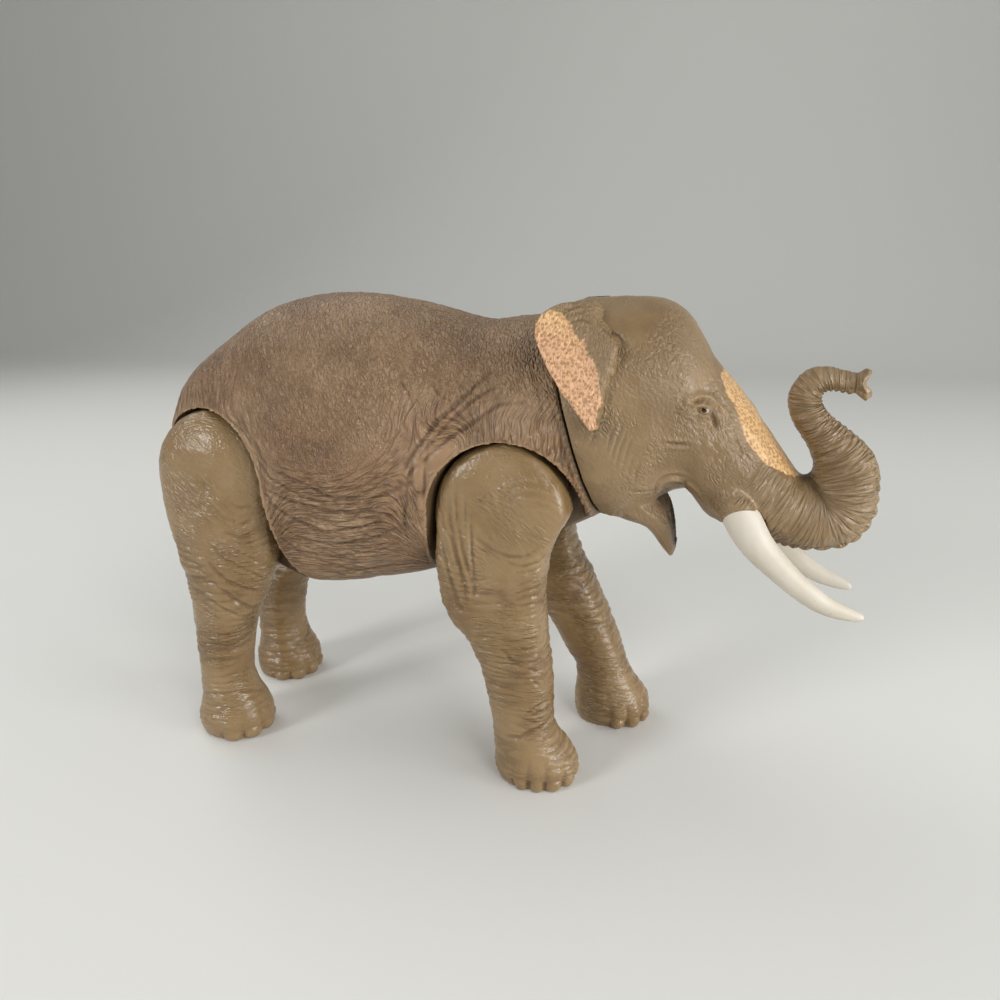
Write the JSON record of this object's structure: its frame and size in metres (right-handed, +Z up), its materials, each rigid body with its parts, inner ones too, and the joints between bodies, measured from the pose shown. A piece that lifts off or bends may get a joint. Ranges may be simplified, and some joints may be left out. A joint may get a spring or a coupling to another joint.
{
  "type": "jointed toy elephant",
  "caption": "Toy figure of an Asian elephant with a head that turns and legs that swing on pins, small ears, tusks and a raised trunk.",
  "frame": {"origin": "on the ground under the middle of the figure's bounding box", "axes": "+X forward, from tail to trunk; +Y to the animal's left; +Z up"},
  "size_m": [0.2636, 0.0786, 0.1729],
  "materials": {
    "skin": "satin grey-brown moulded skin with painted spots on the ears and the forehead",
    "leg_skin": "slightly glossier olive-brown moulded skin",
    "ivory": "satin off-white",
    "joint_plastic": "plain dark moulding, hidden inside",
    "steel": "plain steel, hidden inside"
  },
  "bodies": {
    "torso": {"torso_shell_right": "skin", "torso_shell_left": "skin", "tail": "skin"},
    "head": {"head_shell_right": "skin", "head_shell_left": "skin", "ear_right": "skin", "ear_left": "skin", "tusk_right": "ivory", "tusk_left": "ivory", "neck_pin": "joint_plastic", "neck_washer": "steel", "neck_screw": "steel"},
    "front_leg_right_body": {"front_leg_right": "leg_skin", "shoulder_pin_right": "joint_plastic", "shoulder_washer_right": "steel", "shoulder_screw_right": "steel"},
    "front_leg_left_body": {"front_leg_left": "leg_skin", "shoulder_pin_left": "joint_plastic", "shoulder_washer_left": "steel", "shoulder_screw_left": "steel"},
    "hind_leg_right_body": {"hind_leg_right": "leg_skin", "hip_pin_right": "joint_plastic", "hip_washer_right": "steel", "hip_screw_right": "steel"},
    "hind_leg_left_body": {"hind_leg_left": "leg_skin", "hip_pin_left": "joint_plastic", "hip_washer_left": "steel", "hip_screw_left": "steel"}
  },
  "joints": [
    {"name": "neck_turn", "type": "hinge", "parent": "torso", "child": "head", "pos_m": [0.03598, 0, 0.13181], "axis": [0.965, 0, 0.2622], "range_deg": [-25, 25]},
    {"name": "shoulder_swing_right", "type": "hinge", "parent": "torso", "child": "front_leg_right_body", "pos_m": [0.01508, -0.026, 0.103], "axis": [0, -1, 0], "range_deg": [-4, 25]},
    {"name": "shoulder_swing_left", "type": "hinge", "parent": "torso", "child": "front_leg_left_body", "pos_m": [0.01508, 0.026, 0.103], "axis": [0, -1, 0], "range_deg": [-4, 25]},
    {"name": "hip_swing_right", "type": "hinge", "parent": "torso", "child": "hind_leg_right_body", "pos_m": [-0.09741, -0.026, 0.108], "axis": [0, -1, 0], "range_deg": [-25, 4]},
    {"name": "hip_swing_left", "type": "hinge", "parent": "torso", "child": "hind_leg_left_body", "pos_m": [-0.09741, 0.026, 0.108], "axis": [0, -1, 0], "range_deg": [-25, 4]}
  ]
}
